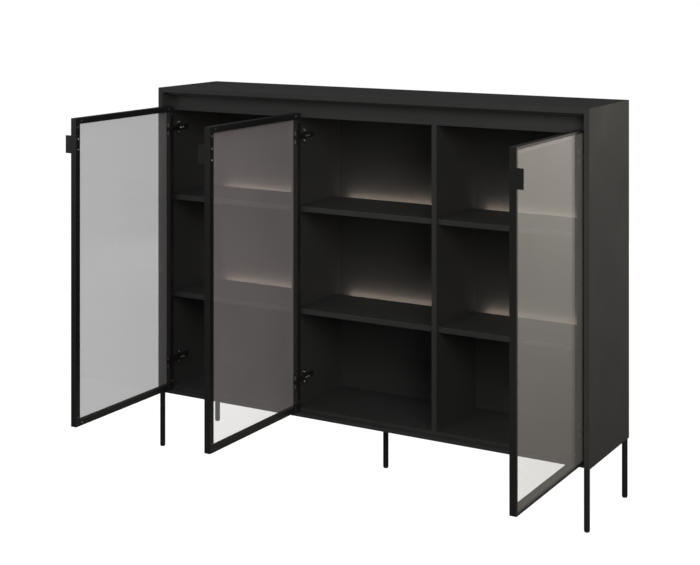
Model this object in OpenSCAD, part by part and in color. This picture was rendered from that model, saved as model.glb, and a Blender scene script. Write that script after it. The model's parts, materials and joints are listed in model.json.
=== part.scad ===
// Glass-door media cabinet on five round legs.
// Millimetres, +Z up, X to the right, Y to the back.
// The origin is on the floor, at the middle leg's centre.

/* [Overall] */
// Width over the top board
total_w = 1500; // [1380:1:1600]
// Depth over the side panels
total_d = 330; // [320:1:380]
// Height from the floor to the side panels' lower edge
leg_h = 177; // [80:1:240]
// Height from the side panels' lower edge to the top
carcass_h = 1005; // [985:1:1100]

/* [Boards] */
// Thickness of sides, dividers and shelves
board_t = 16; // [15:0.5:17]
// Thickness of the top board
top_t = 15; // [15:0.5:22]
// Thickness of the bottom panel
bottom_t = 18; // [18:0.5:22]
// Set-back of the bottom panel's front edge
bottom_set = 9; // [2:0.5:10]
// Depth of the bottom panel's front rebate
rebate_depth = 7.5; // [4:0.5:8]
// Set-back of the dividers and the fascia
inner_set = 39; // [39:0.5:42]
// Thickness of the back panels
back_t = 8; // [5:0.5:8]
// Recess of the back panels from the rear edge
back_recess = 8; // [8:0.5:12]
// Height of the fascia rail
fascia_h = 60.3; // [56:0.1:64]
// Height of the spacer strip under the top
strip_h = 8; // [5:0.5:12]
// Set-back of the spacer strip
strip_set = 18; // [10:0.5:22]

/* [Shelves] */
// Upper shelf, height of its top above the bottom panel
upper_shelf_z = 630.5; // [560:0.5:680]
// Lower shelf, height of its top above the bottom panel
lower_shelf_z = 309.2; // [240:0.1:360]
// Set-back of the shelves' front edge
shelf_set = 49; // [45:0.5:80]
// Gap between the shelves and the back panels
shelf_gap = 30; // [20:0.5:40]
// Distance from a compartment's side to the light profile
led_inset = 29; // [10:1:60]

/* [Doors] */
// Set-back of the closed doors' front face
door_set = 14; // [13:0.5:14]
// Gap between a side panel and the closed door
side_gap = 3; // [3:0.1:3.5]
// Gap between two closed doors
door_gap = 4.1; // [4.1:0.1:6]
// Height of the doors
door_h = 931.5; // [920:0.5:932]
// Width of the frame profile
profile_w = 18; // [18:0.5:24]
// Width of the front lip that covers the glass edge
lip_w = 7.5; // [6:0.5:9]
// Height of the hinges' centre above the door's lower edge
hinge_low = 90; // [70:1:160]
// Distance of the hinges' centre below the door's upper edge
hinge_high = 76; // [70:1:160]

/* [Handles] */
// Height of a handle tab
tab_h = 54; // [40:1:120]
// How far a tab stands in front of the door
tab_out = 20; // [10:0.5:20]
// Distance of a tab below the door's upper edge
tab_drop = 52; // [40:1:300]

/* [Legs] */
// Diameter of the legs
leg_d = 17; // [16:0.5:17]
// Distance of the leg centres from the outer sides
leg_side = 10.5; // [10:0.5:11]
// Distance of the front legs' centre from the front
leg_front = 10; // [10:0.5:12]
// Distance of the middle leg from the front
mid_leg_y = 192; // [120:1:210]

/* [Hidden] */
$fn = 48;
eps = 0.01;

// outer frame of the carcass
half_w = total_w / 2;
front_y = -mid_leg_y;
back_y = front_y + total_d;
base_z = leg_h;
top_z = leg_h + carcass_h;
under_top_z = top_z - top_t;
floor_z = base_z + bottom_t;
ledge_z = floor_z - rebate_depth;
inner_y = front_y + inner_set;
back_face_y = back_y - back_recess - back_t;
fascia_z = under_top_z - fascia_h;

// compartments
comp_w = (total_w - 4 * board_t) / 3;
pitch = comp_w + board_t;
comp_x = [for (i = [0:2]) -half_w + board_t + i * pitch];
divider_x = [for (i = [1:2]) comp_x[i] - board_t];
groove = 5;
groove_play = 0.1;

// shelves
shelf_y = front_y + shelf_set;
shelf_rear_y = back_face_y - shelf_gap;
shelf_side_play = 1;
shelf_tops = [floor_z + upper_shelf_z, floor_z + lower_shelf_z];
pin_d = 5;
pin_in = 7.5;
pin_out = 8;
pin_play = 0.05;
pin_y = [shelf_y + 37, shelf_rear_y - 37];

// light profile
led_size = 12;
led_edge = 3;
led_drop = 4;
diffuser_t = 1.2;
diffuser_w = 9;

// dowels
dowel_d = 8;
dowel_len = 30;
dowel_short = 10;
dowel_play = 0.05;
dowel_y = [front_y + 75, front_y + 165, front_y + 255];

// legs
glide_h = 3;
glide_d = leg_d - 2;
stem_d = 6;
stem_len = 8;
stud_d = 8;
stud_up = 12;
stud_down = 24;
front_leg_y = front_y + leg_front;
back_leg_y = back_y - leg_d / 2;
leg_spots = [
  [-half_w + leg_side, front_leg_y],
  [half_w - leg_side, front_leg_y],
  [-half_w + leg_side, back_leg_y],
  [half_w - leg_side, back_leg_y],
  [0, 0]
];

// doors
door_t = 20;
door_w = (total_w - 2 * board_t - 2 * side_gap - 2 * door_gap) / 3;
door_z = ledge_z + 2;
door_front_y = front_y + door_set;
left_edge_x = -half_w + board_t + side_gap;
middle_edge_x = left_edge_x + door_w + door_gap;
skin = 1.5;
lip_t = 1.1;
glass_t = 4;
glass_play = 0.05;
box_y = lip_t + glass_t + 2 * glass_play;
glass_edge = 4;
tab_t = 1.2;
tab_return = 16;
screw_pitch = 32;
key_arm = 42;
key_play = 0.1;
screw_d = 3.5;
screw_head_d = 6;
screw_head_h = 1.3;
screw_play = 0.05;
corner_screw = 27;

// hinges
pivot_y = 7.2;
side_pivot_x = 8.5;
middle_pivot_x = 11.8;
hinge_z = [hinge_low, door_h - hinge_high];
hinge_pin_d = 2;
hinge_pin_len = 30;
pin_fit = 0.05;
cup_h = 34;
wing_h = 44;
wing_t = 1.5;
arm_half = 6;
slot_half = 6.7;
notch_reach = 3.2;
nose_r = 1.65;
nose_half = 1.5;
nose_lean = 1.75;
nose_run = 20;
nose_len = 14;
plate_from = 44;
plate_to = 116;
plate_t = 3;
body_to = 112;
wall_screw_y = 66;
arm_screw_y = [63, 77];
arm_screw_d = 4;
arm_skin = 1.5;
arm_face = nose_half + nose_lean;
pad_z = 13;
pad_h = 12.5;
pad_w = 7.5;
side_reach = side_gap + side_pivot_x;
middle_reach = middle_edge_x + middle_pivot_x - comp_x[1];

BLACK = "#242424";
METAL = "#303030";
STEEL = "#B5B5B0";
LIGHT = "#FFF2DC";
WOOD = "#C8A878";

// a box between two corners
module span(low, high) {
  translate(low) cube(high - low);
}

// ---------- carcass boards ----------

module dowel_holes_up(x, z, y_list) {
  for (y = y_list)
    translate([x, y, z])
      cylinder(d = dowel_d + 2 * dowel_play, h = dowel_len, center = true);
}

module pin_holes(x, dir) {
  for (z = shelf_tops, y = pin_y)
    translate([x, y, z - board_t - pin_d / 2])
      rotate([0, dir * 90, 0])
        translate([0, 0, -1])
          cylinder(d = pin_d + 2 * pin_play, h = pin_in + 1.2);
}

module top_board() {
  color(BLACK) difference() {
    span([-half_w, front_y, under_top_z], [half_w, back_y, top_z]);
    top_dowel_holes();
    span([-half_w + board_t - groove, back_face_y, under_top_z - 1],
         [half_w - board_t + groove, back_face_y + back_t + groove_play,
          under_top_z + groove]);
  }
}

module top_dowel_holes() {
  z = under_top_z - dowel_len / 2 + dowel_short;
  for (x = [-half_w + board_t / 2, half_w - board_t / 2])
    dowel_holes_up(x, z, dowel_y);
  for (x = divider_x)
    dowel_holes_up(x + board_t / 2, z, dowel_y);
}

module bottom_dowel_holes() {
  z = floor_z + dowel_len / 2 - dowel_short;
  for (x = divider_x)
    dowel_holes_up(x + board_t / 2, z, dowel_y);
}

module side_dowel_holes(dir) {
  for (y = dowel_y)
    translate([dir * (half_w - board_t), y, base_z + bottom_t / 2])
      rotate([0, 90, 0])
        translate([0, 0, dir * (dowel_short - dowel_len / 2)])
          cylinder(d = dowel_d + 2 * dowel_play, h = dowel_len,
                   center = true);
}

module strip_board() {
  color(BLACK)
    span([-half_w + board_t, front_y + strip_set, under_top_z - strip_h],
         [half_w - board_t, inner_y, under_top_z]);
}

module side_board(dir) {
  inner_x = dir * (half_w - board_t);
  outer_x = dir * half_w;
  groove_x = inner_x + dir * groove;
  color(BLACK) difference() {
    span([min(inner_x, outer_x), front_y, base_z],
         [max(inner_x, outer_x), back_y, under_top_z]);
    span([min(inner_x - dir, groove_x), back_face_y, floor_z - groove],
         [max(inner_x - dir, groove_x),
          back_face_y + back_t + groove_play, top_z]);
    top_dowel_holes();
    side_dowel_holes(dir);
    pin_holes(inner_x, dir);
    stud_holes();
    wall_screw_holes();
  }
}

module bottom_board() {
  color(BLACK) difference() {
    span([-half_w + board_t, front_y + bottom_set, base_z],
         [half_w - board_t, back_y, floor_z]);
    span([-half_w, front_y, ledge_z], [half_w, inner_y, floor_z + 1]);
    span([-half_w, back_face_y, floor_z - groove],
         [half_w, back_face_y + back_t + groove_play, floor_z + 1]);
    bottom_dowel_holes();
    side_dowel_holes(-1);
    side_dowel_holes(1);
    stud_holes();
  }
}

module divider_board(i) {
  x = divider_x[i];
  color(BLACK) difference() {
    span([x, inner_y, floor_z], [x + board_t, back_face_y, under_top_z]);
    span([x - 1, inner_y - 1, fascia_z],
         [x + board_t + 1, inner_y + board_t, under_top_z + 1]);
    top_dowel_holes();
    bottom_dowel_holes();
    pin_holes(x, 1);
    pin_holes(x + board_t, -1);
    wall_screw_holes();
  }
}

module fascia_rail() {
  color(BLACK)
    span([-half_w + board_t, inner_y, fascia_z],
         [half_w - board_t, inner_y + board_t, under_top_z]);
}

module back_board(i) {
  left_x = i == 0 ? -half_w + board_t - groove + groove_play
                  : divider_x[i - 1] + board_t / 2;
  right_x = i == 2 ? half_w - board_t + groove - groove_play
                   : divider_x[i] + board_t / 2;
  color(BLACK)
    span([left_x, back_face_y, floor_z - groove + groove_play],
         [right_x, back_face_y + back_t,
          under_top_z + groove - groove_play]);
}

// ---------- shelves, pins and lights ----------

module shelf(i, level) {
  color(BLACK)
    span([comp_x[i] + shelf_side_play, shelf_y,
          shelf_tops[level] - board_t],
         [comp_x[i] + comp_w - shelf_side_play, shelf_rear_y,
          shelf_tops[level]]);
}

module pins_of_shelves() {
  color(STEEL)
    for (i = [0:2], z = shelf_tops, y = pin_y, dir = [-1, 1])
      translate([comp_x[i] + (dir > 0 ? comp_w : 0), y,
                 z - board_t - pin_d / 2])
        rotate([0, dir * 90, 0])
          translate([0, 0, -pin_out])
            cylinder(d = pin_d, h = pin_in + pin_out);
}

module at_each_light() {
  for (i = [0:2], z = shelf_tops)
    translate([comp_x[i] + led_inset, shelf_rear_y,
               z - led_drop - led_size])
      children();
}

module along_x(length) {
  rotate([90, 0, 90]) linear_extrude(length) children();
}

module diffuser_section(play) {
  translate([led_size, led_edge])
    rotate(45)
      translate([-diffuser_t, (led_size - led_edge) * 0.7071
                 - diffuser_w / 2 - play])
        square([diffuser_t + play * 10, diffuser_w + 2 * play]);
}

module light_profiles() {
  color(METAL) at_each_light() along_x(comp_w - 2 * led_inset)
    difference() {
      polygon([[0, 0], [led_size, 0], [led_size, led_edge],
               [led_edge, led_size], [0, led_size]]);
      diffuser_section(0.1);
    }
}

module light_diffusers() {
  color(LIGHT) at_each_light() along_x(comp_w - 2 * led_inset)
    diffuser_section(0);
}

// ---------- dowels ----------

module all_dowels() {
  z_top = under_top_z - dowel_len / 2 + dowel_short;
  z_low = floor_z + dowel_len / 2 - dowel_short;
  length = dowel_len - 0.4;
  color(WOOD) {
    for (y = dowel_y) {
      for (x = [-half_w + board_t / 2, half_w - board_t / 2,
                divider_x[0] + board_t / 2, divider_x[1] + board_t / 2])
        translate([x, y, z_top])
          cylinder(d = dowel_d, h = length, center = true);
      for (x = divider_x)
        translate([x + board_t / 2, y, z_low])
          cylinder(d = dowel_d, h = length, center = true);
      for (dir = [-1, 1])
        translate([dir * (half_w - board_t + dowel_short - dowel_len / 2),
                   y, base_z + bottom_t / 2])
          rotate([0, 90, 0])
            cylinder(d = dowel_d, h = length, center = true);
    }
  }
}

// ---------- legs ----------

module stud_holes() {
  for (p = leg_spots)
    translate([p[0], p[1], base_z - 1])
      cylinder(d = stud_d + 2 * dowel_play, h = stud_up + 1.2);
}

module leg(i) {
  round_r = 1;
  color(METAL)
    translate([leg_spots[i][0], leg_spots[i][1], 0])
      difference() {
        translate([0, 0, glide_h]) rotate_extrude()
          polygon([[0, 0], [leg_d / 2 - round_r, 0],
                   [leg_d / 2, round_r], [leg_d / 2, base_z - glide_h],
                   [0, base_z - glide_h]]);
        translate([0, 0, base_z - stud_down - 0.2])
          cylinder(d = stud_d + 2 * dowel_play, h = stud_down + 1);
        translate([0, 0, glide_h - 1])
          cylinder(d = stem_d + 2 * dowel_play, h = stem_len + 1.2);
      }
}

module all_glides() {
  color(BLACK) for (p = leg_spots)
    translate([p[0], p[1], 0]) rotate_extrude()
      polygon([[0, 0], [glide_d / 2 - 1, 0], [glide_d / 2, 1],
               [glide_d / 2, glide_h], [stem_d / 2, glide_h],
               [stem_d / 2, glide_h + stem_len],
               [0, glide_h + stem_len]]);
}

module all_studs() {
  color(STEEL) for (p = leg_spots)
    translate([p[0], p[1], base_z - stud_down])
      cylinder(d = stud_d, h = stud_down + stud_up);
}

// ---------- hinges on the carcass ----------

// the pivot of a door, drawn with the wall on the -X side
module at_pivots(which) {
  x = which == 1 ? middle_edge_x + middle_pivot_x
                 : left_edge_x + side_pivot_x;
  mirror([which == 2 ? 1 : 0, 0, 0])
    for (z = hinge_z)
      translate([x, door_front_y + pivot_y, door_z + z])
        children();
}

module hinge_arm(reach) {
  wall = -reach;
  difference() {
    union() {
      translate([0, 0, -arm_half])
        linear_extrude(2 * arm_half) {
          circle(r = nose_r);
          polygon([[-nose_half, 0], [nose_half, 0],
                   [arm_face, nose_run],
                   [nose_lean - nose_half, nose_run]]);
          polygon([[wall + plate_t, nose_len + 3],
                   [arm_face, nose_len], [arm_face, body_to - 16],
                   [wall + plate_t + 6, body_to],
                   [wall + plate_t, body_to]]);
        }
      span([wall, plate_from, -7.5], [wall + plate_t, plate_to, 7.5]);
      span([wall, wall_screw_y - 7, -wing_h / 2],
           [wall + plate_t, wall_screw_y + 7, wing_h / 2]);
    }
    cylinder(d = hinge_pin_d + 0.04, h = wing_h, center = true);
    span([wall + plate_t, nose_run + 4, arm_skin - arm_half],
         [arm_face - arm_skin, body_to - 20, arm_half - arm_skin]);
    for (y = arm_screw_y)
      translate([arm_face, y, 0])
        rotate([0, 90, 0])
          cylinder(d = arm_screw_d + 2 * screw_play, h = 8,
                   center = true);
    for (dir = [-1, 1])
      translate([wall, wall_screw_y, dir * screw_pitch / 2])
        rotate([0, 90, 0])
          cylinder(d = screw_d + 2 * screw_play, h = 20, center = true);
  }
}

module hinge_arms(which) {
  color(METAL) at_pivots(which)
    hinge_arm(which == 1 ? middle_reach : side_reach);
}

module all_hinge_pins() {
  color(STEEL) for (which = [0:2])
    at_pivots(which)
      cylinder(d = hinge_pin_d, h = hinge_pin_len, center = true);
}

module at_wall_screws() {
  for (which = [0:2])
    at_pivots(which)
      for (dir = [-1, 1])
        translate([which == 1 ? -middle_reach : -side_reach,
                   wall_screw_y, dir * screw_pitch / 2])
          rotate([0, 90, 0])
            children();
}

module wall_screw_holes() {
  at_wall_screws()
    translate([0, 0, -12.2])
      cylinder(d = screw_d + 2 * screw_play, h = 13);
}

module all_hinge_screws() {
  color(STEEL) {
    at_wall_screws() {
      translate([0, 0, -12])
        cylinder(d = screw_d, h = 12 + plate_t);
      translate([0, 0, plate_t])
        cylinder(d = screw_head_d + 1, h = screw_head_h + 0.5);
    }
    for (which = [0:2])
      at_pivots(which)
        for (y = arm_screw_y)
          translate([arm_face, y, 0]) rotate([0, 90, 0]) {
            translate([0, 0, -arm_skin - 3])
              cylinder(d = arm_screw_d, h = arm_skin + 3);
            cylinder(d = screw_head_d, h = screw_head_h);
          }
  }
}

// ---------- doors ----------
// A door is drawn with its hinge edge at x = 0, its outer face at y = 0
// and its lower edge at z = 0. It is then swung open about its pivot.

function pivot_x(which) = which == 1 ? middle_pivot_x : side_pivot_x;

module place_door(which) {
  x = which == 1 ? middle_edge_x : left_edge_x;
  mirror([which == 2 ? 1 : 0, 0, 0])
    translate([x + pivot_x(which), door_front_y + pivot_y, door_z])
      rotate([0, 0, -90])
        translate([-pivot_x(which), -pivot_y, 0])
          children();
}

// section of the frame profile, its outer edge at x = 0
module profile_section() {
  difference() {
    polygon([[0, 0], [lip_w, 0], [lip_w, lip_t], [skin, lip_t],
             [skin, box_y], [profile_w, box_y], [profile_w, door_t],
             [0, door_t]]);
    translate([skin, box_y + skin])
      square([profile_w - 2 * skin, door_t - box_y - 2 * skin]);
  }
}

module mitre(length) {
  translate([0, door_t + 1, 0]) rotate([90, 0, 0])
    linear_extrude(door_t + 2)
      polygon([[0, 0], [profile_w, profile_w],
               [profile_w, length - profile_w], [0, length]]);
}

module plain_stile() {
  intersection() {
    linear_extrude(door_h) profile_section();
    mitre(door_h);
  }
}

module plain_rail() {
  mirror([1, 0, 0]) rotate([0, -90, 0])
    intersection() {
      linear_extrude(door_w) profile_section();
      mitre(door_w);
    }
}

module at_frame_corners() {
  for (low = [0, 1], free = [0, 1])
    translate([free ? door_w : 0, 0, low ? 0 : door_h])
      mirror([free, 0, 0]) mirror([0, 0, low ? 0 : 1])
        children();
}

module corner_screw_spots() {
  at_frame_corners() {
    translate([corner_screw, door_t, profile_w / 2]) children();
    translate([profile_w / 2, door_t, corner_screw]) children();
  }
}

module handle_screw_spots() {
  for (dir = [-1, 1])
    translate([door_w - profile_w / 2, door_t,
               door_h - tab_drop - tab_h / 2 + dir * screw_pitch / 2])
      children();
}

module frame_screw_holes() {
  corner_screw_spots() rotate([90, 0, 0])
    cylinder(d = screw_d + 2 * screw_play, h = 9, center = true);
  handle_screw_spots() rotate([90, 0, 0])
    cylinder(d = screw_d + 2 * screw_play, h = 9, center = true);
}

module rail(which, top) {
  color(METAL) place_door(which) difference() {
    if (top)
      translate([0, 0, door_h]) mirror([0, 0, 1]) plain_rail();
    else
      plain_rail();
    frame_screw_holes();
  }
}

module hinge_stile(which) {
  px = pivot_x(which);
  color(METAL) place_door(which) difference() {
    plain_stile();
    frame_screw_holes();
    for (z = hinge_z) {
      span([px - 3, box_y - eps, z - cup_h / 2 - 0.2],
           [profile_w + 1, door_t - skin, z + cup_h / 2 + 0.2]);
      span([-1, box_y - eps, z - slot_half - 0.1],
           [px + notch_reach, door_t + 1, z + slot_half + 0.1]);
    }
  }
}

module free_stile(which) {
  color(METAL) place_door(which) difference() {
    translate([door_w, 0, 0]) mirror([1, 0, 0]) plain_stile();
    frame_screw_holes();
  }
}

module pane(which) {
  color(BLACK, 0.4) place_door(which)
    span([glass_edge, lip_t + glass_play, glass_edge],
         [door_w - glass_edge, lip_t + glass_play + glass_t,
          door_h - glass_edge]);
}

module handle(which) {
  z = door_h - tab_drop - tab_h;
  color(BLACK) place_door(which) difference() {
    union() {
      span([door_w, -tab_out, z], [door_w + tab_t, door_t + tab_t, z + tab_h]);
      span([door_w - tab_return, door_t, z],
           [door_w + tab_t, door_t + tab_t, z + tab_h]);
    }
    frame_screw_holes();
  }
}

module hinge_cups(which) {
  px = pivot_x(which);
  color(METAL) place_door(which)
    for (z = hinge_z) {
      difference() {
        union() {
          span([px - 2.7, box_y + 0.05, z - cup_h / 2],
               [profile_w, door_t - skin - 0.1, z + cup_h / 2]);
          span([profile_w, box_y + 0.8, z - wing_h / 2],
               [profile_w + wing_t, door_t - 0.8, z + wing_h / 2]);
          for (dir = [-1, 1])
            span([profile_w, door_t - 3 - pad_w, z + dir * pad_z - pad_h / 2],
                 [profile_w + wing_t + 1, door_t - 3,
                  z + dir * pad_z + pad_h / 2]);
        }
        span([px - 4, 0, z - slot_half], [px + notch_reach, door_t + 1,
              z + slot_half]);
        translate([px, pivot_y, z])
          cylinder(d = hinge_pin_d + 2 * pin_fit, h = cup_h + 2,
                   center = true);
      }
    }
}

module corner_key() {
  size = profile_w - 2 * skin - 2 * key_play;
  y_low = box_y + skin + key_play;
  y_high = door_t - skin - key_play;
  low = skin + key_play;
  difference() {
    union() {
      span([low, y_low, low], [key_arm, y_high, low + size]);
      span([low, y_low, low], [low + size, y_high, key_arm]);
    }
    translate([corner_screw, y_high, profile_w / 2]) rotate([90, 0, 0])
      cylinder(d = screw_d + 2 * screw_play, h = 10, center = true);
    translate([profile_w / 2, y_high, corner_screw]) rotate([90, 0, 0])
      cylinder(d = screw_d + 2 * screw_play, h = 10, center = true);
  }
}

module corner_keys(which) {
  color(STEEL) place_door(which) at_frame_corners() corner_key();
}

module door_screw() {
  rotate([-90, 0, 0]) {
    cylinder(d = screw_head_d, h = screw_head_h);
    translate([0, 0, -4.4]) cylinder(d = screw_d, h = 4.4);
  }
}

module door_screws(which) {
  color(STEEL) place_door(which) {
    corner_screw_spots() door_screw();
    handle_screw_spots() translate([0, tab_t, 0]) door_screw();
  }
}

top_board();  // top_panel
strip_board();  // top_strip
side_board(-1);  // left_side
side_board(1);  // right_side
bottom_board();  // bottom_panel
divider_board(0);  // left_divider
divider_board(1);  // right_divider
fascia_rail();  // fascia
back_board(0);  // back_left
back_board(1);  // back_middle
back_board(2);  // back_right
shelf(0, 0);  // shelf_left_upper
shelf(0, 1);  // shelf_left_lower
shelf(1, 0);  // shelf_middle_upper
shelf(1, 1);  // shelf_middle_lower
shelf(2, 0);  // shelf_right_upper
shelf(2, 1);  // shelf_right_lower
pins_of_shelves();  // shelf_pins
light_profiles();  // led_profiles
light_diffusers();  // led_diffusers
all_dowels();  // dowels
leg(0);  // leg_front_left
leg(1);  // leg_front_right
leg(2);  // leg_back_left
leg(3);  // leg_back_right
leg(4);  // leg_middle
all_glides();  // leg_glides
all_studs();  // leg_studs
hinge_arms(0);  // left_hinge_arms
hinge_arms(1);  // middle_hinge_arms
hinge_arms(2);  // right_hinge_arms
all_hinge_pins();  // hinge_pins
all_hinge_screws();  // hinge_screws
rail(0, true);  // left_door_top_rail
rail(0, false);  // left_door_bottom_rail
hinge_stile(0);  // left_door_hinge_stile
free_stile(0);  // left_door_free_stile
pane(0);  // left_door_glass
handle(0);  // left_door_handle
hinge_cups(0);  // left_door_hinge_cups
corner_keys(0);  // left_door_corner_keys
door_screws(0);  // left_door_screws
rail(1, true);  // middle_door_top_rail
rail(1, false);  // middle_door_bottom_rail
hinge_stile(1);  // middle_door_hinge_stile
free_stile(1);  // middle_door_free_stile
pane(1);  // middle_door_glass
handle(1);  // middle_door_handle
hinge_cups(1);  // middle_door_hinge_cups
corner_keys(1);  // middle_door_corner_keys
door_screws(1);  // middle_door_screws
rail(2, true);  // right_door_top_rail
rail(2, false);  // right_door_bottom_rail
hinge_stile(2);  // right_door_hinge_stile
free_stile(2);  // right_door_free_stile
pane(2);  // right_door_glass
handle(2);  // right_door_handle
hinge_cups(2);  // right_door_hinge_cups
corner_keys(2);  // right_door_corner_keys
door_screws(2);  // right_door_screws
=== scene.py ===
import json
import math
import random

import bmesh
import bpy
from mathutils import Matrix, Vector


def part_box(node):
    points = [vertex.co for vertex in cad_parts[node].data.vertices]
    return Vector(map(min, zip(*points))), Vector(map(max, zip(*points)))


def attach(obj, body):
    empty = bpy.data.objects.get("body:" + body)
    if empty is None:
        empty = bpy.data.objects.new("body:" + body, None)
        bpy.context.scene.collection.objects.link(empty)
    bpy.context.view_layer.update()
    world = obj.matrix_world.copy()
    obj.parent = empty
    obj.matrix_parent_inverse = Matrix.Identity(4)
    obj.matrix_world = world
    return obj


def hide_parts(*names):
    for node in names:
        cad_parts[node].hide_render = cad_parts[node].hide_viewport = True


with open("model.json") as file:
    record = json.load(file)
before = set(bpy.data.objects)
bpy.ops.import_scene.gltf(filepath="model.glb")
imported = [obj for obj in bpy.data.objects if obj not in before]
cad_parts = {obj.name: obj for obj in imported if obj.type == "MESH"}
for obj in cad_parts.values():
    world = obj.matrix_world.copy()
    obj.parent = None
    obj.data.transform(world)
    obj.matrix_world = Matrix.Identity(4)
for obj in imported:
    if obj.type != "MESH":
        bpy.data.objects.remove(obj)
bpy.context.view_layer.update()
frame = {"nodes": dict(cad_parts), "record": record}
nodes = frame["nodes"]
record = frame["record"]
slot_of = {s["node"]: s["material_slot"] for s in record["subparts"]}
body_of = {n: b for b, ns in record["behaviour"]["bodies"].items()
           for n in ns}
scene = bpy.context.scene
random.seed(7)


# ---------- camera ----------

# It stands level and its lens is shifted, so that upright lines stay upright.
CAMERA_PLACE = (2.206, -4.026, 1.5596)
CAMERA_TURN = math.radians(30.13)
LENS_MM = 74.84
LENS_SHIFT = -0.4421
SENSOR_MM = 36.0
FAR_CLIP = 300.0

lens = bpy.data.cameras.new("studio_camera")
lens.sensor_fit = "HORIZONTAL"
lens.sensor_width = SENSOR_MM
lens.lens = LENS_MM
lens.shift_y = LENS_SHIFT
lens.clip_end = FAR_CLIP
camera = bpy.data.objects.new("studio_camera", lens)
camera.location = CAMERA_PLACE
camera.rotation_euler = (math.radians(90), 0, CAMERA_TURN)
scene.collection.objects.link(camera)
scene.camera = camera

scene.view_settings.view_transform = "Standard"
scene.view_settings.look = "None"


# ---------- node helpers ----------

EVEN = (1.0, 1.0, 1.0)
WHITE = (1.0, 1.0, 1.0, 1.0)
# a noise value mostly lies between these two
NOISE_LOW, NOISE_HIGH = 0.3, 0.7


class Graph:
    """A material or world node tree, built by short calls."""

    def __init__(self, tree):
        self.tree = tree
        tree.nodes.clear()

    def feed(self, socket, value):
        """Gives an input a value, or links another node's output to it."""
        if isinstance(value, bpy.types.NodeSocket):
            self.tree.links.new(value, socket)
        else:
            socket.default_value = value

    def node(self, kind, inputs=None, **settings):
        made = self.tree.nodes.new(kind)
        for name, value in settings.items():
            setattr(made, name, value)
        for name, value in (inputs or {}).items():
            self.feed(made.inputs[name], value)
        return made

    def math(self, operation, a, b):
        made = self.node("ShaderNodeMath", operation=operation)
        self.feed(made.inputs[0], a)
        self.feed(made.inputs[1], b)
        return made.outputs[0]

    def noise(self, coords, scale, detail, roughness):
        return self.node("ShaderNodeTexNoise", {
            "Vector": coords, "Scale": scale, "Detail": detail,
            "Roughness": roughness}).outputs["Fac"]

    def spread(self, value, low, high):
        """Maps a noise value to low..high."""
        return self.node("ShaderNodeMapRange", {
            "Value": value, "From Min": NOISE_LOW, "From Max": NOISE_HIGH,
            "To Min": low, "To Max": high}).outputs["Result"]

    def blend(self, share, a, b):
        """A colour between a and b."""
        made = self.node("ShaderNodeMix", {
            "Factor": share, "A": (*a, 1.0), "B": (*b, 1.0)},
            data_type="RGBA")
        return next(s for s in made.outputs if s.type == "RGBA")

    def bump(self, height, strength, distance):
        return self.node("ShaderNodeBump", {
            "Height": height, "Strength": strength,
            "Distance": distance}).outputs["Normal"]

    def coords(self, stretch=EVEN):
        """Coordinates in metres. A small stretch draws a pattern out."""
        source = self.node("ShaderNodeTexCoord").outputs["Object"]
        if stretch == EVEN:
            return source
        return self.node("ShaderNodeMapping", {
            "Vector": source, "Scale": stretch}).outputs["Vector"]

    def mix_shaders(self, share, a, b):
        made = self.node("ShaderNodeMixShader")
        for socket, value in zip(made.inputs, (share, a, b)):
            self.feed(socket, value)
        return made.outputs[0]

    def surface(self, shader, output="ShaderNodeOutputMaterial"):
        self.node(output, {"Surface": shader})


def material(name):
    made = bpy.data.materials.new(name)
    made.use_nodes = True
    return made, Graph(made.node_tree)


# ---------- materials ----------

# noise scales, per metre, of the broad changes in tone and gloss
COATING_CLOUDS = 4.0
METAL_CLOUDS = 60.0
PANE_SMUDGES = 5.0
# the opal covers' ripples are fine across a cover and long along it
OPAL_RIPPLES = 90.0
OPAL_STRETCH = (1.0, 40.0, 40.0)
# how much of a coating's tone comes from its grain; the clouds give the rest
GRAIN_SHARE = 0.6
GRAIN_BUMP = 0.25
BRUSH_BUMP = 0.4
BRUSH_DEPTH = 0.00002
# glass mirrors this much straight on, and all light at a grazing angle
PANE_MIRROR = 0.04
PANE_MIRROR_POWER = 5.0
PANE_ROUGH = (0.02, 0.035)
HAZE_VARIES = 0.06


def coated(name, dark, light, rough, grain, depth, specular=0.5,
           stretch=EVEN):
    """A dull coated surface: mottled colour, uneven gloss and a fine grain."""
    made, g = material(name)
    speckle = g.noise(g.coords(stretch), grain, detail=3.0, roughness=0.6)
    cloudy = g.noise(g.coords(), COATING_CLOUDS, detail=4.0, roughness=0.55)
    tone = g.math("ADD", g.math("MULTIPLY", speckle, GRAIN_SHARE),
                  g.math("MULTIPLY", cloudy, 1.0 - GRAIN_SHARE))
    g.surface(g.node("ShaderNodeBsdfPrincipled", {
        "Base Color": g.blend(g.spread(tone, 0.0, 1.0), dark, light),
        "Roughness": g.spread(cloudy, *rough),
        "Specular IOR Level": specular,
        "Normal": g.bump(speckle, GRAIN_BUMP, depth),
    }).outputs[0])
    return made


def metal(name, dark, light, rough, brush, stretch):
    """Plated or brushed metal with short scratches along one direction."""
    made, g = material(name)
    scratches = g.noise(g.coords(stretch), brush, detail=3.0, roughness=0.65)
    cloudy = g.noise(g.coords(), METAL_CLOUDS, detail=3.0, roughness=0.5)
    g.surface(g.node("ShaderNodeBsdfPrincipled", {
        "Metallic": 1.0,
        "Base Color": g.blend(g.spread(cloudy, 0.0, 1.0), dark, light),
        "Roughness": g.spread(scratches, *rough),
        "Normal": g.bump(scratches, BRUSH_BUMP, BRUSH_DEPTH),
    }).outputs[0])
    return made


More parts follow.
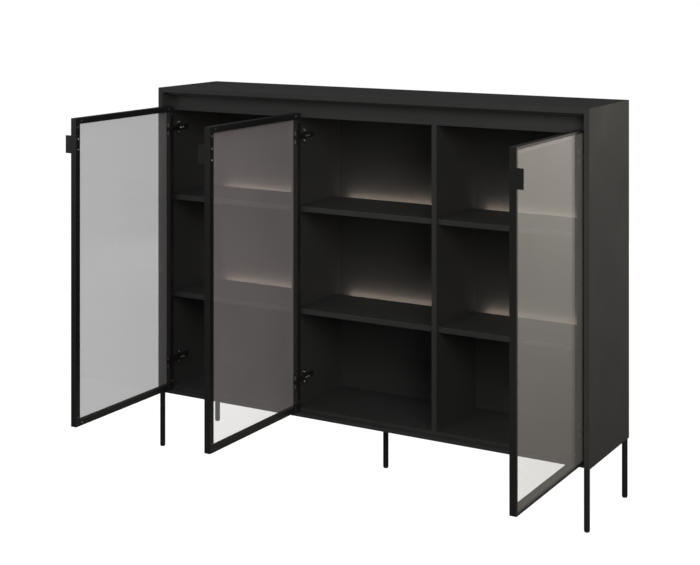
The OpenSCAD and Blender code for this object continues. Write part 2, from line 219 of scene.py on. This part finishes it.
def pane_glass(name, tint, haze, haze_colour):
    """Tinted pane: clear straight through, mirroring at a slant, and a thin
    haze that catches the light."""
    made, g = material(name)
    smudge = g.noise(g.coords(), PANE_SMUDGES, detail=1.5, roughness=0.5)
    clear = g.node("ShaderNodeBsdfTransparent", {"Color": (*tint, 1.0)})
    mirror = g.node("ShaderNodeBsdfGlossy", {
        "Color": WHITE, "Roughness": g.spread(smudge, *PANE_ROUGH)})
    slant = g.node("ShaderNodeLayerWeight", {"Blend": 0.5})
    rim = g.math("POWER", slant.outputs["Facing"], PANE_MIRROR_POWER)
    mirrored = g.math("ADD", g.math("MULTIPLY", rim, 1.0 - PANE_MIRROR),
                      PANE_MIRROR)
    body = g.mix_shaders(mirrored, clear.outputs[0], mirror.outputs[0])
    veil = g.node("ShaderNodeBsdfPrincipled", {
        "Base Color": (*haze_colour, 1.0), "Roughness": 0.6,
        "Specular IOR Level": 0.2})
    veiled = g.spread(smudge, haze * (1.0 - HAZE_VARIES),
                      haze * (1.0 + HAZE_VARIES))
    g.surface(g.mix_shaders(veiled, body, veil.outputs[0]))
    return made


def lamp_opal(name, colour, strength):
    """The ribbed, glowing cover of a shelf light."""
    made, g = material(name)
    ripple = g.noise(g.coords(OPAL_STRETCH), OPAL_RIPPLES, detail=2.0,
                     roughness=0.5)
    g.surface(g.node("ShaderNodeBsdfPrincipled", {
        "Base Color": g.blend(g.spread(ripple, 0.0, 1.0),
                              (0.80, 0.74, 0.64), (0.88, 0.83, 0.74)),
        "Roughness": 0.5,
        "Emission Color": (*colour, 1.0),
        "Emission Strength": strength,
    }).outputs[0])
    return made


LAMINATE = coated(
    "laminate_black", (0.0192, 0.0189, 0.0184), (0.0240, 0.0236, 0.0230),
    rough=(0.50, 0.60), grain=1400.0, depth=0.00003, specular=0.35)
# rounded laminate edges, lighter than the faces: some wear and a painted
# highlight
LAMINATE_EDGE_WEAR_AND_HIGHLIGHT = coated(
    "laminate_edge_wear_and_highlight", (0.030, 0.029, 0.027), (0.042, 0.040, 0.038),
    rough=(0.38, 0.48), grain=1400.0, depth=0.00003)
FRAME_PAINT = coated(
    "frame_satin_black", (0.0075, 0.0074, 0.0072), (0.0105, 0.0103, 0.0101),
    rough=(0.30, 0.38), grain=2200.0, depth=0.00002, specular=0.45)
# rounded frame, leg and profile edges, far lighter than the paint: a painted
# highlight with some wear
FRAME_EDGE_WEAR_AND_HIGHLIGHT = coated(
    "frame_edge_wear_and_highlight", (0.050, 0.049, 0.048), (0.070, 0.068, 0.066),
    rough=(0.28, 0.36), grain=2200.0, depth=0.00002)
LEG_PAINT = coated(
    "leg_satin_black", (0.0085, 0.0083, 0.0081), (0.0115, 0.0113, 0.0110),
    rough=(0.34, 0.42), grain=2200.0, depth=0.00002, specular=0.32)
ANODISED = coated(
    "anodised_black", (0.022, 0.022, 0.022), (0.030, 0.030, 0.030),
    rough=(0.34, 0.46), grain=900.0, depth=0.00002, stretch=(0.02, 1.0, 1.0))
PLASTIC = coated(
    "plastic_black", (0.018, 0.018, 0.018), (0.024, 0.024, 0.024),
    rough=(0.48, 0.58), grain=1800.0, depth=0.00004)
BEECH = coated(
    "beech", (0.36, 0.235, 0.135), (0.52, 0.37, 0.235),
    rough=(0.55, 0.65), grain=600.0, depth=0.00008, stretch=(1.0, 1.0, 0.05))
NICKEL = metal(
    "dark_nickel", (0.13, 0.126, 0.122), (0.19, 0.185, 0.178),
    rough=(0.26, 0.42), brush=700.0, stretch=(0.2, 0.2, 1.0))
ZINC = metal(
    "zinc_bright", (0.52, 0.52, 0.51), (0.68, 0.68, 0.66),
    rough=(0.22, 0.38), brush=1500.0, stretch=EVEN)
# rounded nickel edges, lighter than the nickel: a painted highlight with some
# wear
NICKEL_EDGE_WEAR_AND_HIGHLIGHT = metal(
    "nickel_edge_wear_and_highlight", (0.30, 0.295, 0.285), (0.42, 0.41, 0.40),
    rough=(0.20, 0.32), brush=700.0, stretch=(0.2, 0.2, 1.0))
NICKEL_PAD = metal(
    "nickel_pad", (0.15, 0.147, 0.142), (0.21, 0.206, 0.20),
    rough=(0.28, 0.40), brush=700.0, stretch=(1.0, 1.0, 0.2))
# the hinge cups' nickel, darkened as painted shade
NICKEL_PAINTED_SHADE = metal(
    "nickel_painted_shade", (0.030, 0.029, 0.028), (0.045, 0.044, 0.043),
    rough=(0.34, 0.46), brush=700.0, stretch=(1.0, 1.0, 0.2))
SCREW_GREY = metal(
    "screw_dark_grey", (0.17, 0.168, 0.165), (0.25, 0.247, 0.242),
    rough=(0.30, 0.42), brush=1500.0, stretch=EVEN)
MILL = metal(
    "mill_aluminium", (0.55, 0.55, 0.56), (0.68, 0.68, 0.69),
    rough=(0.30, 0.45), brush=500.0, stretch=(0.1, 1.0, 1.0))
# the three doors hold one glass; the left pane's darker tint and the panes'
# differing hazes and haze colours are painted shade and painted reflection,
# set for how each pane mirrors and catches the light
GLASS_LEFT = pane_glass(
    "glass_left", tint=(0.70, 0.70, 0.70), haze=0.120,
    haze_colour=(0.80, 0.78, 0.78))
GLASS_MIDDLE = pane_glass(
    "glass_middle", tint=(0.985, 0.98, 0.98), haze=0.115,
    haze_colour=(0.85, 0.77, 0.77))
GLASS_RIGHT = pane_glass(
    "glass_right", tint=(0.975, 0.97, 0.96), haze=0.075,
    haze_colour=(0.85, 0.80, 0.74))
OPAL = lamp_opal("light_opal", colour=(1.0, 0.84, 0.70), strength=14.5)


# ---------- finished copies of the CAD nodes ----------

# main material, material of the rounded edges (slightly worn, and lighter as a
# painted highlight) and edge radius of each slot
FINISHED = {
    "black_laminate": (LAMINATE, LAMINATE_EDGE_WEAR_AND_HIGHLIGHT, 0.0005),
    "black_frame_paint": (FRAME_PAINT, FRAME_EDGE_WEAR_AND_HIGHLIGHT, 0.00025),
    "black_leg_paint": (LEG_PAINT, FRAME_EDGE_WEAR_AND_HIGHLIGHT, 0.0003),
    "black_aluminium": (ANODISED, FRAME_EDGE_WEAR_AND_HIGHLIGHT, 0.00015),
    "dark_nickel": (NICKEL, NICKEL_EDGE_WEAR_AND_HIGHLIGHT, 0.0003),
}
# a hinge cup is nickel darkened as painted shade, with plain nickel on its
# rounded edges
CUP_PAINTED_SHADE_FINISH = (NICKEL_PAINTED_SHADE, NICKEL, 0.0003)
# faces within this depth of a hinge cup's outermost level are its pads'
PAD_DEPTH = 0.0009
WELD_DISTANCE = 0.000002
FLAT_ANGLE = math.radians(0.5)
SMOOTH_ANGLE = math.radians(50)
# edges that turn by more than this, in radians, are rounded
ROUNDED_ANGLE = 0.6
BEVEL_SEGMENTS = 2
# a high weight lets the large faces rule the shading
AREA_WEIGHT = 100


def clean_copy(name):
    """The node's mesh with its triangles joined into flat faces."""
    bm = bmesh.new()
    bm.from_mesh(nodes[name].data)
    bmesh.ops.remove_doubles(bm, verts=bm.verts, dist=WELD_DISTANCE)
    bmesh.ops.dissolve_limit(bm, angle_limit=FLAT_ANGLE,
                             verts=bm.verts, edges=bm.edges)
    return bm


def add_piece(name, bm, materials, stands_for):
    """A new piece in place of a CAD node, on its body, with the given
    materials.
    """
    mesh = bpy.data.meshes.new(name)
    bmesh.ops.recalc_face_normals(bm, faces=bm.faces)
    bm.to_mesh(mesh)
    bm.free()
    for finish in materials:
        mesh.materials.append(finish)
    piece = bpy.data.objects.new(name, mesh)
    scene.collection.objects.link(piece)
    for poly in mesh.polygons:
        poly.use_smooth = True
    mesh.set_sharp_from_angle(angle=SMOOTH_ANGLE)
    even = piece.modifiers.new("even_shading", "WEIGHTED_NORMAL")
    even.weight = AREA_WEIGHT
    even.keep_sharp = True
    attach(piece, body_of[stands_for])
    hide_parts(stands_for)
    return piece


def finish_node(name, main, edge, radius):
    """A copy of the node whose sharp edges are rounded, slightly worn and
    lighter as a painted highlight.
    """
    bm = clean_copy(name)
    sharp = [e for e in bm.edges if len(e.link_faces) == 2
             and e.calc_face_angle(0) > ROUNDED_ANGLE]
    bmesh.ops.bevel(bm, geom=sharp, offset=radius, segments=BEVEL_SEGMENTS,
                    profile=0.5, affect="EDGES", clamp_overlap=True,
                    material=1, loop_slide=True)
    return add_piece(name + "_finished", bm, (main, edge), name)


def brighten_pads(piece, name):
    """Gives the raised pads of a hinge cup a lighter nickel than the cup,
    whose dark nickel is painted shade.
    """
    mesh = piece.data
    pad_index = len(mesh.materials)
    mesh.materials.append(NICKEL_PAD)
    pad_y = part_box(name)[0].y + PAD_DEPTH
    for poly in mesh.polygons:
        if all(mesh.vertices[i].co.y < pad_y for i in poly.vertices):
            poly.material_index = pad_index


for name, slot in slot_of.items():
    if name.endswith("hinge_cups"):
        brighten_pads(finish_node(name, *CUP_PAINTED_SHADE_FINISH), name)
    elif slot in FINISHED:
        finish_node(name, *FINISHED[slot])


# ---------- screws ----------

SCREW_STEPS = 32
# the head's outline from its rim up, as shares of its radius and height
HEAD_OUTLINE = ((1.0, 0.0), (1.0, 0.45), (0.95, 0.72), (0.84, 0.91),
                (0.68, 1.0))
# the cross recess at its mouth and at its floor: the reach of an arm and half
# its width as shares of the head's radius, the level as a share of its height
RECESS_MOUTH = (0.52, 0.13, 1.0)
RECESS_FLOOR = (0.34, 0.09, 0.35)
# vertices nearer than this along the axis are on one level
LEVEL_GAP = 0.00005
# every screw head is taller than this
LEAST_HEAD = 0.0005


def islands(bm):
    """The separate solids of a mesh, each a list of vertices."""
    left = set(bm.verts)
    found = []
    while left:
        group, edge = [], [left.pop()]
        while edge:
            v = edge.pop()
            group.append(v)
            for e in v.link_edges:
                w = e.other_vert(v)
                if w in left:
                    left.remove(w)
                    edge.append(w)
        found.append(group)
    return sorted(found, key=lambda g: tuple(round(c, 4) for c in g[0].co))


def screw_facts(group):
    """Of one plain CAD screw: the point on its axis under the head, its
    direction, head radius, head height, shank radius and shank length."""
    faces = {f for v in group for f in v.link_faces}
    cap = max(faces, key=lambda f: (f.calc_area(), f.calc_center_median().z))
    axis = cap.normal.normalized()
    top = cap.calc_center_median()
    levels = sorted((v.co - top).dot(axis) for v in group)
    radius = max((v.co - top).length for v in cap.verts)
    end = [v for v in group if (v.co - top).dot(axis) < levels[0] + LEVEL_GAP]
    shank = max(((v.co - top) - axis * (v.co - top).dot(axis)).length
                for v in end)
    head = min(-level for level in levels if level < -LEAST_HEAD)
    return top - axis * head, axis, radius, head, shank, -levels[0] - head


def cross_screw(bm, seat, axis, radius, head, shank, length):
    """A rounded screw head with a cross recess, on its plain shank."""
    turn = random.uniform(0.0, math.pi / 2)
    side = axis.orthogonal().normalized()
    up = axis.cross(side)

    def point(u, v, h):
        return bm.verts.new(seat + side * u + up * v + axis * h)

    def ring(r, h):
        return [point(r * math.cos(2 * math.pi * i / SCREW_STEPS),
                      r * math.sin(2 * math.pi * i / SCREW_STEPS), h)
                for i in range(SCREW_STEPS)]

    def recess(arm, half, level):
        """The twelve corners of the cross on one level."""
        corners = []
        for q in range(4):
            a = turn + q * math.pi / 2
            for u, v in ((arm, -half), (arm, half), (half, half)):
                u, v = u * radius, v * radius
                corners.append(point(u * math.cos(a) - v * math.sin(a),
                                     u * math.sin(a) + v * math.cos(a),
                                     head * level))
        return corners

    rings = [ring(shank, -length), ring(shank, 0.0)]
    rings += [ring(radius * r, head * h) for r, h in HEAD_OUTLINE]
    bm.faces.new(list(reversed(rings[0])))
    for low, high in zip(rings, rings[1:]):
        for i in range(SCREW_STEPS):
            j = (i + 1) % SCREW_STEPS
            bm.faces.new((low[i], low[j], high[j], high[i]))

    mouth = recess(*RECESS_MOUTH)
    floor_of_cross = recess(*RECESS_FLOOR)
    for i in range(len(mouth)):
        j = (i + 1) % len(mouth)
        bm.faces.new((mouth[i], mouth[j], floor_of_cross[j],
                      floor_of_cross[i]))
    bm.faces.new(floor_of_cross)
    pairs = [(loop[i], loop[(i + 1) % len(loop)])
             for loop in (rings[-1], mouth) for i in range(len(loop))]
    face_edges = [bm.edges.get(pair) or bm.edges.new(pair) for pair in pairs]
    bmesh.ops.triangle_fill(bm, use_beauty=True, edges=face_edges)


def make_screws(name, wanted, suffix, finish):
    """Detailed screws in place of those of a CAD node that are wanted."""
    plain = clean_copy(name)
    made = bmesh.new()
    for group in islands(plain):
        facts = screw_facts(group)
        if wanted(facts[0]):
            cross_screw(made, *facts)
    plain.free()
    return add_piece(name + suffix, made, (finish,), name)


make_screws("hinge_screws", lambda seat: True, "_crossed", ZINC)
for door in ("left", "middle", "right"):
    tab_low, tab_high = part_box(door + "_door_handle")

    def on_tab(seat):
        return (tab_low.z < seat.z < tab_high.z
                and tab_low.y < seat.y < tab_high.y)

    make_screws(door + "_door_screws", on_tab, "_handle", ZINC)
    make_screws(door + "_door_screws", lambda seat: not on_tab(seat),
                "_corner", SCREW_GREY)


# ---------- the other CAD nodes ----------

PLAIN = {
    "zinc_steel": ZINC, "light_diffuser": OPAL, "beech": BEECH,
    "black_plastic": PLASTIC, "key_aluminium": MILL,
}
PANES = {
    "left_door_glass": GLASS_LEFT, "middle_door_glass": GLASS_MIDDLE,
    "right_door_glass": GLASS_RIGHT,
}
for name, slot in slot_of.items():
    finish = PANES.get(name) or PLAIN.get(slot)
    if finish:
        nodes[name].data.materials.clear()
        nodes[name].data.materials.append(finish)


# ---------- floor ----------

FLOOR_REACH = 60.0
FLOOR_SEGMENTS = 8

floor_bm = bmesh.new()
bmesh.ops.create_grid(floor_bm, x_segments=FLOOR_SEGMENTS,
                      y_segments=FLOOR_SEGMENTS, size=FLOOR_REACH)
floor_mesh = bpy.data.meshes.new("floor")
floor_bm.to_mesh(floor_mesh)
floor_bm.free()
floor = bpy.data.objects.new("floor", floor_mesh)
scene.collection.objects.link(floor)
white, g = material("floor_white")
g.surface(g.node("ShaderNodeBsdfPrincipled", {
    "Base Color": (0.18, 0.18, 0.18, 1.0), "Roughness": 0.9,
    "Specular IOR Level": 0.0, "Emission Color": WHITE,
    "Emission Strength": 1.0,
}).outputs[0])
floor_mesh.materials.append(white)
# the camera sees white, but the cabinet neither mirrors the floor nor is lit
# by it
floor.visible_glossy = False
floor.visible_diffuse = False


# ---------- the room's light ----------

# a soft glow low behind the cabinet, over dim light from all round; both light
# the cabinet, and the camera itself sees plain white instead
GLOW_DIRECTION = (0.36, 0.93, 0.10)
GLOW_COLOUR = (1.0, 0.93, 0.83, 1.0)
GLOW_TIGHTNESS = 28.0
GLOW_STRENGTH = 2.0
DIM_STRENGTH = 0.09

world = bpy.data.worlds.new("studio")
world.use_nodes = True
scene.world = world
g = Graph(world.node_tree)
toward = g.node("ShaderNodeVectorMath", operation="DOT_PRODUCT")
g.feed(toward.inputs[0],
       g.node("ShaderNodeTexCoord").outputs["Generated"])
g.feed(toward.inputs[1], Vector(GLOW_DIRECTION).normalized())
glow = g.math("POWER", g.math("MAXIMUM", toward.outputs["Value"], 0.0),
              GLOW_TIGHTNESS)
lobe = g.node("ShaderNodeBackground", {
    "Color": GLOW_COLOUR, "Strength": g.math("MULTIPLY", glow,
                                             GLOW_STRENGTH)})
dim = g.node("ShaderNodeBackground", {
    "Color": WHITE, "Strength": DIM_STRENGTH})
both = g.node("ShaderNodeAddShader")
g.feed(both.inputs[0], lobe.outputs[0])
g.feed(both.inputs[1], dim.outputs[0])
bright = g.node("ShaderNodeBackground", {"Color": WHITE, "Strength": 1.0})
path = g.node("ShaderNodeLightPath")
g.surface(g.mix_shaders(path.outputs["Is Camera Ray"], both.outputs[0],
                        bright.outputs[0]), "ShaderNodeOutputWorld")


# ---------- softboxes ----------

def softbox(name, place, aim, size, power, colour=EVEN):
    lamp = bpy.data.lights.new(name, "AREA")
    lamp.shape = "RECTANGLE"
    lamp.size, lamp.size_y = size
    lamp.energy = power
    lamp.color = colour
    holder = bpy.data.objects.new(name, lamp)
    holder.location = place
    look = Vector(aim) - Vector(place)
    holder.rotation_euler = look.to_track_quat("-Z", "Y").to_euler()
    scene.collection.objects.link(holder)


softbox("key_box", place=(3.3, -3.3, 2.1), aim=(0.0, 0.0, 0.7),
        size=(2.2, 2.2), power=150.0, colour=(1.0, 0.99, 0.97))
softbox("top_box", place=(-1.5, -0.3, 3.1), aim=(-0.5, -0.1, 0.9),
        size=(2.0, 1.8), power=10.0)
softbox("front_box", place=(0.2, -3.1, 3.6), aim=(0.0, -0.1, 0.5),
        size=(2.6, 1.6), power=66.0)
softbox("left_box", place=(-3.6, -2.6, 1.5), aim=(-0.2, -0.3, 0.7),
        size=(1.8, 1.8), power=14.0)
# the rear light stays below the top board, which would mirror it
softbox("rear_box", place=(-1.8, 3.6, 0.65), aim=(0.0, 0.1, 0.65),
        size=(2.4, 0.9), power=45.0)
